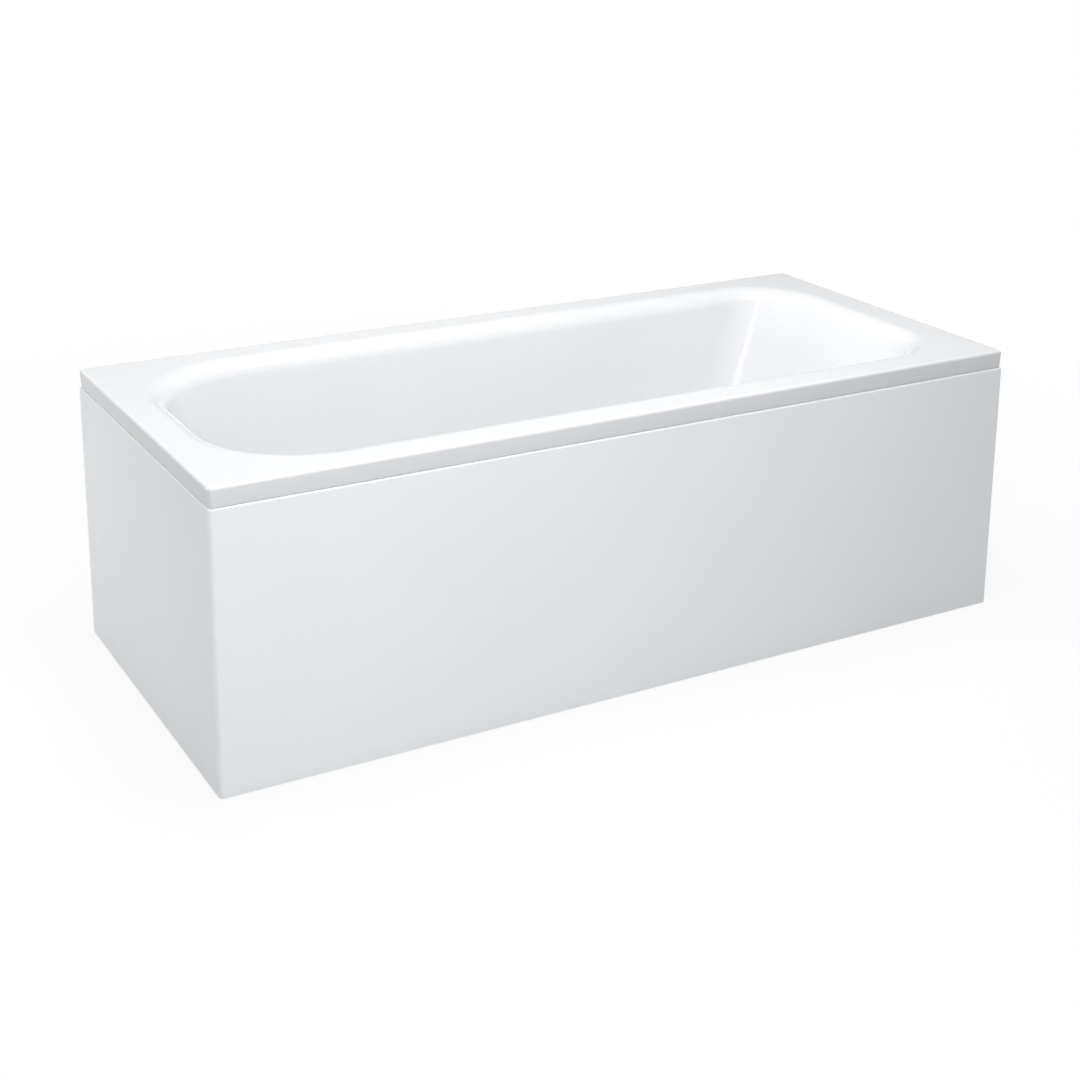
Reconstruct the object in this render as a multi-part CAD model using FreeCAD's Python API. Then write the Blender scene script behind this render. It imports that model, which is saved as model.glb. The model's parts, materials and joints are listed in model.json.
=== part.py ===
import FreeCAD, Part
import math
import os

# Corner bath with a one-piece L panel, in millimetres
# The origin is on the floor under the middle of the rim, -Y and -X are the panelled sides, +Z is up

V = FreeCAD.Vector
X_AXIS = V(1, 0, 0)
Y_AXIS = V(0, 1, 0)
Z_AXIS = V(0, 0, 1)
tiny = 1e-4

# Overall sizes
bath_length = 1700.0
bath_width = 750.0
bath_height = 560.0

# Shell, rim and basin
shell_wall = 5.0
skirt_height = 36.0
skirt_lean = 2.5
rim_corner = 7.0
rim_edge_round = 6.0
rim_inner_corner = 1.0
deck_foot = 53.0
deck_head = 65.0
deck_side = 57.0
basin_floor = 140.0
roll_radius = 42.0
floor_radius = 80.0
side_slope = 12.0
foot_slope = 12.0
head_slope = 28.0
corner_foot = 225.0
corner_head = 165.0
corner_taper = 0.75
arc_step = 14.0

# Clearances
thread_clearance = 0.05
seat_clearance = 0.3
hole_clearance = 0.5

# L panel
panel_thick = 4.0
panel_corner = 8.0
panel_edge_round = 3.5
panel_flange = 22.0
panel_seam = 1.0
panel_floor_gap = 2.0

# Base board and battens
board_thick = 12.0
board_length = 950.0
board_waste_gap = 70.0
board_margin = 2.0
batten_width = 36.0
batten_height = 24.0
batten_skirt_gap = 4.0
batten_end_gap = 40.0

# Panel clips
clip_sheet = 2.0
clip_width = 30.0
clip_reach = 14.0
front_clip_count = 5
end_clip_count = 2

# Leg channels and their screws
rail_width = 40.0
rail_height = 25.0
rail_sheet = 2.0
rail_length = 540.0
rail_foot_inset = 80.0
rail_head_inset = 90.0
screw_shank = 2.1
screw_head = 4.5
screw_head_height = 3.0
screw_bite = 9.0
screw_spacing = 70.0
screws_per_rail = 4

# Levelling feet
foot_end_inset = 30.0
spindle_radius = 5.0
spindle_length = 145.0
spindle_chamfer = 1.0
nut_flats = 17.0
nut_height = 8.0
cup_radius = 24.0
cup_base = 6.0
cup_boss_radius = 10.0
cup_height = 22.0
cup_socket = 12.0

# Wall brackets
bracket_width = 60.0
bracket_drop = 55.0
bracket_sheet = 3.0
bracket_lip = 14.0
bracket_hole = 3.25
bracket_hole_spacing = 36.0
bracket_hole_drop = 32.0
bracket_back_spread = 1000.0

# Waste
waste_from_floor_edge = 58.0
waste_hole = 26.0
waste_rim_radius = 35.0
waste_rim_height = 3.0
waste_tail_radius = 22.0
waste_tail_wall = 3.0
waste_tail_length = 44.0
washer_thick = 1.5
seal_thick = 4.0
waste_collar_radius = 36.0
waste_collar_height = 5.0
waste_barrel_radius = 29.0
waste_barrel_height = 55.0
waste_outlet_radius = 20.0
waste_outlet_length = 26.0
pipe_wall = 3.0
guide_radius = 6.0
guide_height = 8.0
guide_drop = 24.0
bridge_bar = 4.0

# Plug
plug_radius = 29.0
plug_rim = 2.0
plug_crown = 3.0
plug_seal_height = 2.0
plug_seal_overlap = 3.0
plug_seal_width = 5.0
stem_radius = 3.0
stem_length = 46.0

# Overflow
overflow_drop = 95.0
overflow_hole = 26.0
overflow_rim_radius = 33.0
overflow_rim_height = 4.0
overflow_tail_radius = 22.0
overflow_tail_wall = 2.5
overflow_tail_length = 30.0
overflow_body_radius = 30.0
overflow_body_depth = 34.0
overflow_seal_thick = 3.0
knob_radius = 34.0
knob_height = 10.0
knob_stand = 5.0
knob_edge_round = 3.0
knob_grip_width = 9.0
knob_grip_height = 6.0
knob_spindle_radius = 4.0
knob_hub_radius = 8.0
knob_hub_height = 8.0

# Overflow hose and control cable
hose_bore = 13.1
hose_wall = 2.9
hose_grip = 18.0
hose_bend = 70.0
spigot_radius = 13.0
spigot_wall = 3.0
spigot_overflow_length = 54.0
spigot_waste_length = 60.0
spigot_drop = 30.0
hose_clip_wall = 3.0
hose_clip_length = 12.0
cable_radius = 2.5
cable_side = 26.0
cable_boss_radius = 5.0
cable_boss_length = 46.0
cable_socket = 10.0
cable_drop = 43.0

# Trap and outlet
trap_radius = 46.0
trap_height = 38.0
trap_floor_gap = 12.0
trap_wall = 3.0
trap_collar_radius = 24.6
trap_collar_length = 16.0
trap_collar_seat = 8.0
trap_seal_thick = 3.0
union_nut_wall = 4.0
union_nut_lip = 5.0
cap_radius = 20.0
cap_height = 6.0
cap_thread_radius = 16.0
outlet_pipe_end = 345.0
outlet_stop_from_end = 45.0
outlet_stop_radius = 21.5
outlet_stop_length = 4.0

# Levels and planes worked out from the sizes above
half_length = bath_length / 2
half_width = bath_width / 2
skirt_bottom = bath_height - skirt_height
deck_under = bath_height - shell_wall
floor_under = basin_floor - shell_wall
basin_left = -half_length + deck_foot
basin_right = half_length - deck_head
basin_half = half_width - deck_side
board_under = floor_under - board_thick
rail_under_web = board_under - rail_sheet
foot_spread = rail_length - 2 * foot_end_inset
panel_top = skirt_bottom - panel_seam
batten_under = deck_under - batten_height


def sin(degrees):
    return math.sin(math.radians(degrees))


def cos(degrees):
    return math.cos(math.radians(degrees))


def tan(degrees):
    return math.tan(math.radians(degrees))


# Small solids

def box(x0, x1, y0, y1, z0, z1):
    return Part.makeBox(x1 - x0, y1 - y0, z1 - z0, V(x0, y0, z0))


def rod(radius, z0, z1, x=0.0, y=0.0):
    return Part.makeCylinder(radius, z1 - z0, V(x, y, z0), Z_AXIS)


def ring(outer, inner, z0, z1):
    return rod(outer, z0, z1).cut(rod(inner, z0, z1))


def join(shapes):
    whole = shapes[0]
    for shape in shapes[1:]:
        whole = whole.fuse(shape)
    return whole.removeSplitter()


def moved(shape, x, y, z):
    copy = shape.copy()
    copy.translate(V(x, y, z))
    return copy


def save(node, shape):
    shape.exportStep("parts/" + node + ".step")
    print(node, len(shape.Solids), "solid", round(shape.Volume / 1000.0, 1), "cm3")


# Rounded rectangle with its own radius at the foot end and the head end

def rounded_rectangle(x0, x1, y0, y1, r0, r1, z):
    k = 1 - math.sqrt(0.5)

    def corner(a, middle, b):
        return Part.Arc(V(*a, z), V(*middle, z), V(*b, z)).toShape()

    def side(a, b):
        return Part.LineSegment(V(*a, z), V(*b, z)).toShape()

    edges = [
        side((x0 + r0, y0), (x1 - r1, y0)),
        corner((x1 - r1, y0), (x1 - r1 * k, y0 + r1 * k), (x1, y0 + r1)),
        side((x1, y0 + r1), (x1, y1 - r1)),
        corner((x1, y1 - r1), (x1 - r1 * k, y1 - r1 * k), (x1 - r1, y1)),
        side((x1 - r1, y1), (x0 + r0, y1)),
        corner((x0 + r0, y1), (x0 + r0 * k, y1 - r0 * k), (x0, y1 - r0)),
        side((x0, y1 - r0), (x0, y0 + r0)),
        corner((x0, y0 + r0), (x0 + r0 * k, y0 + r0 * k), (x0 + r0, y0)),
    ]
    return Part.Wire(edges)


# Inward step of a basin wall at height z: the roll's arc, the straight wall, the floor's arc
# skin is 0 on the water side and the wall thickness on the underside

def wall_inset(z, slope, skin):
    roll = roll_radius - skin
    bend = floor_radius + skin
    roll_centre = bath_height - roll_radius
    bend_centre = basin_floor + floor_radius
    roll_foot = roll_centre + roll * sin(slope)
    wall_foot = bend_centre - bend * sin(slope)
    if z >= roll_foot:
        return math.sqrt(max(roll ** 2 - (z - roll_centre) ** 2, 0.0))
    if z >= wall_foot:
        return roll * cos(slope) + (roll_foot - z) * tan(slope)
    wall_end = roll * cos(slope) + (roll_foot - wall_foot) * tan(slope)
    return wall_end + bend * cos(slope) - math.sqrt(max(bend ** 2 - (bend_centre - z) ** 2, 0.0))


# Heights at which the basin's outline changes: along the roll, at each slope's ends, along the floor's arc

def basin_levels(skin):
    roll_centre = bath_height - roll_radius
    bend_centre = basin_floor + floor_radius
    steepest = max(90 - side_slope, 90 - foot_slope, 90 - head_slope)
    steps = math.ceil(steepest / arc_step)
    turns = [steepest * i / steps for i in range(steps)]
    turns += [90 - slope for slope in (side_slope, foot_slope, head_slope)]
    rolled = {round(roll_centre + (roll_radius - skin) * cos(turn), 3) for turn in turns}
    bent = {round(bend_centre - (floor_radius + skin) * cos(turn), 3) for turn in turns}
    return sorted(rolled | bent, reverse=True)


def basin_solid(skin):
    sections = []
    for z in basin_levels(skin):
        side = wall_inset(z, side_slope, skin)
        x0 = basin_left + wall_inset(z, foot_slope, skin)
        x1 = basin_right - wall_inset(z, head_slope, skin)
        half = basin_half - side
        r0 = corner_foot - corner_taper * side
        r1 = corner_head - corner_taper * side
        sections.append(rounded_rectangle(x0, x1, -half, half, r0, r1, z))
    return Part.makeLoft(sections, True, True)


# Flat side view of the rim block between two heights, from its leaning side to its upright side

def rim_side(half, z0, z1):
    lean = skirt_lean / skirt_height
    low = lean * (bath_height - z0) - half
    high = lean * (bath_height - z1) - half
    return [(low, z0), (half, z0), (half, z1), (high, z1), (low, z0)]


# Rim block drawn in by inset: the side view crossed with the end view, then its upright corners rounded

def rim_block(inset, z0, z1):
    long_view = [V(x, -bath_width, z) for x, z in rim_side(half_length - inset, z0, z1)]
    end_view = [V(-bath_length, y, z) for y, z in rim_side(half_width - inset, z0, z1)]
    along_y = Part.Face(Part.makePolygon(long_view)).extrude(V(0, 2 * bath_width, 0))
    along_x = Part.Face(Part.makePolygon(end_view)).extrude(V(2 * bath_length, 0, 0))
    block = along_y.common(along_x)
    uprights = [edge for edge in block.Edges if edge.BoundBox.ZLength > tiny]
    return block.makeFillet(max(rim_corner - inset, rim_inner_corner), uprights)


# Where the waste and the overflow sit

foot_inset = wall_inset(basin_floor, foot_slope, 0.0)
waste_x = basin_left + foot_inset + waste_from_floor_edge
overflow_z = bath_height - overflow_drop
overflow_x = basin_left + wall_inset(overflow_z, foot_slope, 0.0)
overflow_at = V(overflow_x, 0, overflow_z)
wall_normal = V(cos(foot_slope), 0, sin(foot_slope))
wall_down = V(sin(foot_slope), 0, -cos(foot_slope))


# A shape drawn with Z out of the foot-end wall and X down along it

def on_wall(shape):
    copy = shape.copy()
    seat = FreeCAD.Placement(overflow_at, FreeCAD.Rotation(Z_AXIS, wall_normal))
    copy.Placement = seat.multiply(copy.Placement)
    return copy


def at_waste(shape):
    return moved(shape, waste_x, 0, 0)


# Shell

def bath_shell():
    block = rim_block(0, skirt_bottom, bath_height)
    top_edges = [e for e in block.Edges if abs(e.BoundBox.ZMin - bath_height) < tiny]
    block = block.makeFillet(rim_edge_round, top_edges)
    rim = block.cut(rim_block(shell_wall, skirt_bottom, deck_under))
    shell = rim.fuse(basin_solid(shell_wall)).cut(basin_solid(0.0))
    waste_cut = rod(waste_hole, floor_under - shell_wall, basin_floor + shell_wall, waste_x)
    overflow_cut = on_wall(rod(overflow_hole, -4 * shell_wall, 2 * shell_wall))
    return shell.cut(waste_cut).cut(overflow_cut).removeSplitter()


# L-shaped band along the two panelled sides, depth wide, between two heights

def l_band(depth, z0, z1):
    x0 = -half_length
    y0 = -half_width
    r = panel_corner
    k = 1 - math.sqrt(0.5)
    inner = r - depth
    points = [V(half_length, y0, z0), V(x0 + r, y0, z0), V(x0, y0 + r, z0), V(x0, half_width, z0)]
    points += [V(x0 + depth, half_width, z0)]
    edges = [Part.LineSegment(points[0], points[1]).toShape()]
    edges += [Part.Arc(points[1], V(x0 + r * k, y0 + r * k, z0), points[2]).toShape()]
    edges += [Part.LineSegment(points[2], points[3]).toShape()]
    edges += [Part.LineSegment(points[3], points[4]).toShape()]
    end = V(half_length, y0 + depth, z0)
    if inner > 0:
        a = V(x0 + depth, y0 + r, z0)
        b = V(x0 + r, y0 + depth, z0)
        middle = V(x0 + r - inner * (1 - k), y0 + r - inner * (1 - k), z0)
        edges += [Part.LineSegment(points[4], a).toShape(), Part.Arc(a, middle, b).toShape()]
        edges += [Part.LineSegment(b, end).toShape()]
    else:
        elbow = V(x0 + depth, y0 + depth, z0)
        edges += [Part.LineSegment(points[4], elbow).toShape(), Part.LineSegment(elbow, end).toShape()]
    edges += [Part.LineSegment(end, points[0]).toShape()]
    return Part.Face(Part.Wire(edges)).extrude(V(0, 0, z1 - z0))


# True for the three top edges along the outer faces: the front, the corner's arc and the end

def on_panel_top(edge):
    b = edge.BoundBox
    if abs(b.ZMin - panel_top) > tiny or b.ZLength > tiny:
        return False
    on_front = b.YLength < tiny and abs(b.YMin + half_width) < tiny
    on_end = b.XLength < tiny and abs(b.XMin + half_length) < tiny
    in_corner = b.XMax < -half_length + panel_corner + tiny and b.YMax < -half_width + panel_corner + tiny
    return on_front or on_end or in_corner


def l_panel():
    z0 = panel_floor_gap
    z1 = panel_top
    sheet = l_band(panel_thick, z0, z1)
    top = l_band(panel_flange, z1 - panel_thick, z1)
    bottom = l_band(panel_flange, z0, z0 + panel_thick)
    head_return = box(half_length - panel_thick, half_length, -half_width, -half_width + panel_flange, z0, z1)
    back_return = box(-half_length, -half_length + panel_flange, half_width - panel_thick, half_width, z0, z1)
    panel = join([sheet, top, bottom, head_return, back_return])
    outer_edges = [edge for edge in panel.Edges if on_panel_top(edge)]
    return panel.makeFillet(panel_edge_round, outer_edges)


# Board and battens, and where the leg channels cross the board

board_x0 = waste_x + board_waste_gap
board_x1 = board_x0 + board_length
board_half = basin_half - wall_inset(basin_floor, side_slope, 0.0) - board_margin
rail_foot_x = board_x0 + rail_foot_inset
rail_head_x = board_x1 - rail_head_inset


def screw_places():
    first = -screw_spacing * (screws_per_rail - 1) / 2
    places = []
    for rail_x in (rail_foot_x, rail_head_x):
        places += [(rail_x, first + i * screw_spacing) for i in range(screws_per_rail)]
    return places


def base_board():
    board = box(board_x0, board_x1, -board_half, board_half, board_under, floor_under)
    hole_top = board_under + screw_bite + hole_clearance
    for x, y in screw_places():
        board = board.cut(rod(screw_shank + thread_clearance, board_under, hole_top, x, y))
    return board


batten_front = -half_width + shell_wall + batten_skirt_gap
batten_left = -half_length + shell_wall + batten_skirt_gap


def front_batten():
    x0 = batten_left + batten_width + batten_end_gap
    x1 = half_length - shell_wall - batten_end_gap
    return box(x0, x1, batten_front, batten_front + batten_width, batten_under, deck_under)


def end_batten():
    y0 = batten_front + batten_width + batten_end_gap
    y1 = half_width - shell_wall - batten_end_gap
    return box(batten_left, batten_left + batten_width, y0, y1, batten_under, deck_under)


# One clip for the front, drawn at x = 0: a U that takes the panel's top flange, hung from the batten

def front_clip():
    w = clip_width / 2
    web_y = -half_width + panel_flange + seat_clearance
    jaw_y = web_y - clip_reach
    top_z = panel_top + seat_clearance
    low_z = panel_top - panel_thick - seat_clearance
    upper = box(-w, w, jaw_y, web_y + clip_sheet, top_z, top_z + clip_sheet)
    lower = box(-w, w, jaw_y, web_y + clip_sheet, low_z - clip_sheet, low_z)
    web = box(-w, w, web_y, web_y + clip_sheet, low_z - clip_sheet, batten_under)
    foot = box(-w, w, web_y, batten_front + batten_width, batten_under - clip_sheet, batten_under)
    return join([upper, lower, web, foot])


def panel_clips():
    clips = []
    x0 = batten_left + batten_width + batten_end_gap
    x1 = half_length - shell_wall - batten_end_gap
    for i in range(front_clip_count):
        x = x0 + (x1 - x0) * (i + 0.5) / front_clip_count
        clips.append(moved(front_clip(), x, 0, 0))
    y0 = batten_front + batten_width + batten_end_gap
    y1 = half_width - shell_wall - batten_end_gap
    turned = moved(front_clip(), 0, half_width, 0)
    turned.rotate(V(0, 0, 0), Z_AXIS, -90)
    for i in range(end_clip_count):
        y = y0 + (y1 - y0) * (i + 0.5) / end_clip_count
        clips.append(moved(turned, -half_length, y, 0))
    return Part.makeCompound(clips)


# Leg channels, open downwards, with their screws and nuts

def foot_places(rail_x):
    return [(rail_x, -foot_spread / 2), (rail_x, foot_spread / 2)]


def rail(rail_x):
    w = rail_width / 2
    z0 = board_under - rail_height
    channel = box(rail_x - w, rail_x + w, -rail_length / 2, rail_length / 2, z0, board_under)
    inner = w - rail_sheet
    hollow = box(rail_x - inner, rail_x + inner, -rail_length / 2, rail_length / 2, z0, rail_under_web)
    channel = channel.cut(hollow)
    for x, y in foot_places(rail_x):
        channel = channel.cut(rod(spindle_radius + hole_clearance, rail_under_web, board_under, x, y))
    for x, y in screw_places():
        if x == rail_x:
            channel = channel.cut(rod(screw_shank + thread_clearance, rail_under_web, board_under, x, y))
    return channel


def rail_screws():
    screws = []
    for x, y in screw_places():
        shank = rod(screw_shank, rail_under_web, board_under + screw_bite, x, y)
        head = rod(screw_head, rail_under_web - screw_head_height, rail_under_web, x, y)
        screws.append(join([shank, head]))
    return Part.makeCompound(screws)


def hex_nut(z0, x, y):
    corner = nut_flats / 2 / cos(30)
    points = [V(x + corner * cos(60 * i), y + corner * sin(60 * i), z0) for i in range(7)]
    nut = Part.Face(Part.makePolygon(points)).extrude(V(0, 0, nut_height))
    return nut.cut(rod(spindle_radius + thread_clearance, z0, z0 + nut_height, x, y))


def rail_nuts():
    nuts = []
    for rail_x in (rail_foot_x, rail_head_x):
        for x, y in foot_places(rail_x):
            nuts += [hex_nut(board_under, x, y), hex_nut(rail_under_web - nut_height, x, y)]
    return Part.makeCompound(nuts)


def spindle(x, y):
    z0 = cup_height - cup_socket
    screw = rod(spindle_radius, z0, z0 + spindle_length, x, y)
    ends = [e for e in screw.Edges if e.BoundBox.ZLength < tiny]
    return screw.makeChamfer(spindle_chamfer, ends)


def foot_cup(x, y):
    base = rod(cup_radius, 0, cup_base, x, y)
    boss = Part.makeCone(cup_radius, cup_boss_radius, cup_height - cup_base, V(x, y, cup_base), Z_AXIS)
    socket = rod(spindle_radius + thread_clearance, cup_height - cup_socket, cup_height, x, y)
    return join([base, boss]).cut(socket)


# Wall bracket drawn with the wall at y = 0 and the bath towards -Y

def wall_bracket():
    w = bracket_width / 2
    lip_y = -shell_wall - seat_clearance
    ledge_z = skirt_bottom - bracket_sheet
    plate = box(-w, w, -bracket_sheet, 0, skirt_bottom - bracket_drop, skirt_bottom)
    ledge = box(-w, w, lip_y - bracket_sheet, 0, ledge_z, skirt_bottom)
    lip = box(-w, w, lip_y - bracket_sheet, lip_y, ledge_z, skirt_bottom + bracket_lip)
    bracket = join([plate, ledge, lip])
    for side in (-1, 1):
        at = V(side * bracket_hole_spacing / 2, -2 * bracket_sheet, skirt_bottom - bracket_hole_drop)
        bracket = bracket.cut(Part.makeCylinder(bracket_hole, 3 * bracket_sheet, at, Y_AXIS))
    return bracket


def end_bracket():
    bracket = wall_bracket()
    bracket.rotate(V(0, 0, 0), Z_AXIS, -90)
    return moved(bracket, half_length, 0, 0)


# Waste fitting, drawn on the Z axis

washer_top = basin_floor + washer_thick
waste_top = washer_top + waste_rim_height
tail_foot = waste_top - waste_tail_length - waste_rim_height
collar_top = floor_under - seal_thick
barrel_foot = collar_top - waste_barrel_height
waste_foot = barrel_foot - waste_outlet_length
guide_top = waste_top - guide_drop
spigot_z = floor_under - spigot_drop
cable_z = floor_under - cable_drop
tail_bore = waste_tail_radius - waste_tail_wall


# Bars across a round bore that carry the guide in its middle

def bridge(count, reach, z0, z1):
    bars = []
    for i in range(count):
        bar = box(-reach, reach, -bridge_bar / 2, bridge_bar / 2, z0, z1)
        bar.rotate(V(0, 0, 0), Z_AXIS, 180.0 * i / count)
        bars.append(bar)
    return bars


def waste_flange():
    rim_top = waste_rim_radius - waste_rim_height
    rim = Part.makeCone(waste_rim_radius, rim_top, waste_rim_height, V(0, 0, washer_top))
    shell = join([rim, rod(waste_tail_radius, tail_foot, washer_top)])
    shell = shell.cut(rod(tail_bore, tail_foot, waste_top))
    guide = rod(guide_radius, guide_top - guide_height, guide_top)
    reach = tail_bore + waste_tail_wall / 2
    whole = join([shell, guide] + bridge(3, reach, guide_top - guide_height, guide_top))
    return whole.cut(rod(stem_radius + thread_clearance, guide_top - guide_height, guide_top))


def waste_seals():
    inner = waste_tail_radius + hole_clearance
    upper = ring(waste_rim_radius - waste_rim_height, inner, basin_floor, washer_top)
    lower = ring(waste_collar_radius, inner, collar_top, floor_under)
    return Part.makeCompound([at_waste(upper), at_waste(lower)])


def waste_body():
    collar = rod(waste_collar_radius, collar_top - waste_collar_height, collar_top)
    barrel = rod(waste_barrel_radius, barrel_foot, collar_top)
    outlet = rod(waste_outlet_radius, waste_foot, barrel_foot)
    spigot = Part.makeCylinder(spigot_radius, spigot_waste_length, V(0, 0, spigot_z), -X_AXIS)
    boss = Part.makeCylinder(cable_boss_radius, cable_boss_length, V(0, cable_side, cable_z), -X_AXIS)
    body = join([collar, barrel, outlet, spigot, boss])
    thread_foot = tail_foot - hole_clearance
    body = body.cut(rod(waste_tail_radius + thread_clearance, thread_foot, collar_top))
    body = body.cut(rod(waste_outlet_radius - pipe_wall, waste_foot, thread_foot))
    way_in = Part.makeCylinder(spigot_radius - spigot_wall, spigot_waste_length, V(0, 0, spigot_z), -X_AXIS)
    socket_at = V(-cable_boss_length, cable_side, cable_z)
    socket = Part.makeCylinder(cable_radius + thread_clearance, cable_socket, socket_at, X_AXIS)
    return body.cut(way_in).cut(socket)


# Plug, shown closed

plug_seat = waste_top + seat_clearance


def plug_cap():
    foot = plug_seat + plug_seal_height
    rim = rod(plug_radius, foot, foot + plug_rim)
    dome_radius = (plug_radius ** 2 + plug_crown ** 2) / (2 * plug_crown)
    dome_foot = foot + plug_rim
    dome = Part.makeSphere(dome_radius, V(0, 0, dome_foot + plug_crown - dome_radius))
    dome = dome.common(rod(plug_radius, dome_foot, dome_foot + plug_crown))
    return join([rim, dome])


def plug_seal():
    outer = tail_bore + plug_seal_overlap
    return ring(outer, outer - plug_seal_width, plug_seat, plug_seat + plug_seal_height)


def plug_stem():
    top = plug_seat + plug_seal_height
    return rod(stem_radius, top - stem_length, top)


# Overflow fitting, drawn with Z out of the foot-end wall into the basin

overflow_back = -shell_wall - overflow_seal_thick
overflow_middle = overflow_back - overflow_body_depth / 2
overflow_bore = overflow_tail_radius - overflow_tail_wall


def overflow_flange():
    rim = rod(overflow_rim_radius, 0, overflow_rim_height)
    tail = rod(overflow_tail_radius, -overflow_tail_length, 0)
    shell = join([rim, tail]).cut(rod(overflow_bore, -overflow_tail_length, overflow_rim_height))
    hub = rod(knob_hub_radius, -knob_hub_height, 0)
    reach = overflow_bore + overflow_tail_wall / 2
    whole = join([shell, hub] + bridge(2, reach, -knob_hub_height, 0))
    return whole.cut(rod(knob_spindle_radius + thread_clearance, -knob_hub_height, 0))


def overflow_seal():
    return ring(overflow_body_radius, overflow_tail_radius + hole_clearance, overflow_back, -shell_wall)


def overflow_body():
    cup = rod(overflow_body_radius, overflow_back - overflow_body_depth, overflow_back)
    spigot_at = V(0, 0, overflow_middle)
    spigot = Part.makeCylinder(spigot_radius, spigot_overflow_length, spigot_at, X_AXIS)
    boss = Part.makeCylinder(cable_boss_radius, cable_boss_length, V(0, cable_side, overflow_middle), X_AXIS)
    body = join([cup, spigot, boss])
    hollow_back = overflow_back - overflow_body_depth + pipe_wall
    body = body.cut(rod(overflow_tail_radius + thread_clearance, hollow_back, overflow_back))
    way_out = Part.makeCylinder(spigot_radius - spigot_wall, spigot_overflow_length, spigot_at, X_AXIS)
    socket_at = V(cable_boss_length, cable_side, overflow_middle)
    socket = Part.makeCylinder(cable_radius + thread_clearance, cable_socket, socket_at, -X_AXIS)
    return body.cut(way_out).cut(socket)


def overflow_knob():
    foot = overflow_rim_height + knob_stand
    disc = rod(knob_radius, foot, foot + knob_height)
    edges = [e for e in disc.Edges if abs(e.BoundBox.ZMin - foot - knob_height) < tiny]
    disc = disc.makeFillet(knob_edge_round, edges)
    reach = knob_radius - 2 * knob_edge_round
    top = foot + knob_height
    grip = box(-reach, reach, -knob_grip_width / 2, knob_grip_width / 2, foot, top + knob_grip_height)
    upright = [e for e in grip.Edges if abs(e.BoundBox.ZLength - knob_height - knob_grip_height) < tiny]
    grip = grip.makeFillet(knob_grip_width / 2 - thread_clearance, upright)
    spindle_rod = rod(knob_spindle_radius, overflow_middle, foot)
    return join([disc, grip, spindle_rod])


# Tube that leaves the overflow down along the wall and turns level into the waste

def bent_path(start, end_x, end_z, bend):
    reach = (start.z - end_z) / cos(foot_slope)
    elbow = start + wall_down * reach
    tangent = bend * tan((90 - foot_slope) / 2)
    a = elbow - wall_down * tangent
    b = elbow + X_AXIS * tangent
    centre = a + wall_normal * bend
    outward = elbow - centre
    middle = centre + outward * (bend / outward.Length)
    end = V(end_x, start.y, end_z)
    edges = [Part.LineSegment(start, a).toShape(), Part.Arc(a, middle, b).toShape()]
    edges += [Part.LineSegment(b, end).toShape()]
    return Part.Wire(edges)


def swept(path, start, radius):
    circle = Part.Wire(Part.Circle(start, wall_down, radius).toShape())
    return path.makePipeShell([circle], True, False)


def overflow_hose():
    begin = overflow_at + wall_normal * overflow_middle + wall_down * (spigot_overflow_length - hose_grip)
    end_x = waste_x - spigot_waste_length + hose_grip
    path = bent_path(begin, end_x, spigot_z, hose_bend)
    outer = swept(path, begin, hose_bore + hose_wall)
    hose = outer.cut(swept(path, begin, hose_bore))
    section = math.pi * ((hose_bore + hose_wall) ** 2 - hose_bore ** 2)
    print("overflow hose length", round(path.Length, 1))
    print("overflow hose volume ratio", round(hose.Volume / section / path.Length, 4))
    return hose


def hose_clips():
    inner = hose_bore + hose_wall + thread_clearance
    outer = inner + hose_clip_wall
    inset = (hose_grip - hose_clip_length) / 2
    upper = ring(outer, inner, 0, hose_clip_length)
    upper.rotate(V(0, 0, 0), Y_AXIS, 90)
    upper = on_wall(moved(upper, spigot_overflow_length - hose_grip + inset, 0, overflow_middle))
    lower = ring(outer, inner, 0, hose_clip_length)
    lower.rotate(V(0, 0, 0), Y_AXIS, 90)
    lower = moved(lower, waste_x - spigot_waste_length + inset, 0, spigot_z)
    return Part.makeCompound([upper, lower])


def control_cable():
    begin = overflow_at + wall_normal * overflow_middle + wall_down * (cable_boss_length - cable_socket)
    begin = begin + V(0, cable_side, 0)
    end_x = waste_x - cable_boss_length + cable_socket
    path = bent_path(begin, end_x, cable_z, hose_bend)
    print("control cable length", round(path.Length, 1))
    return swept(path, begin, cable_radius)


# Trap under the waste, its outlet towards the back wall

trap_top = trap_floor_gap + trap_height
trap_z = trap_floor_gap + trap_height / 2
collar_bore = waste_outlet_radius + thread_clearance


def union_nut(collar_end):
    inner = trap_collar_radius + thread_clearance
    outer = inner + union_nut_wall
    length = trap_collar_length - trap_collar_seat
    body = ring(outer, inner, collar_end - length, collar_end + trap_seal_thick)
    lip = ring(outer, collar_bore, collar_end + trap_seal_thick, collar_end + trap_seal_thick + union_nut_lip)
    return join([body, lip])


def union_seal(collar_end):
    return ring(trap_collar_radius, collar_bore, collar_end, collar_end + trap_seal_thick)


# Turns a shape drawn on the Z axis so that it points to the back wall from the trap's middle

def to_back(shape):
    copy = shape.copy()
    copy.rotate(V(0, 0, 0), X_AXIS, -90)
    return moved(copy, waste_x, 0, trap_z)


inlet_end = trap_top + trap_collar_length
outlet_end = trap_radius + trap_collar_length


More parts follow.
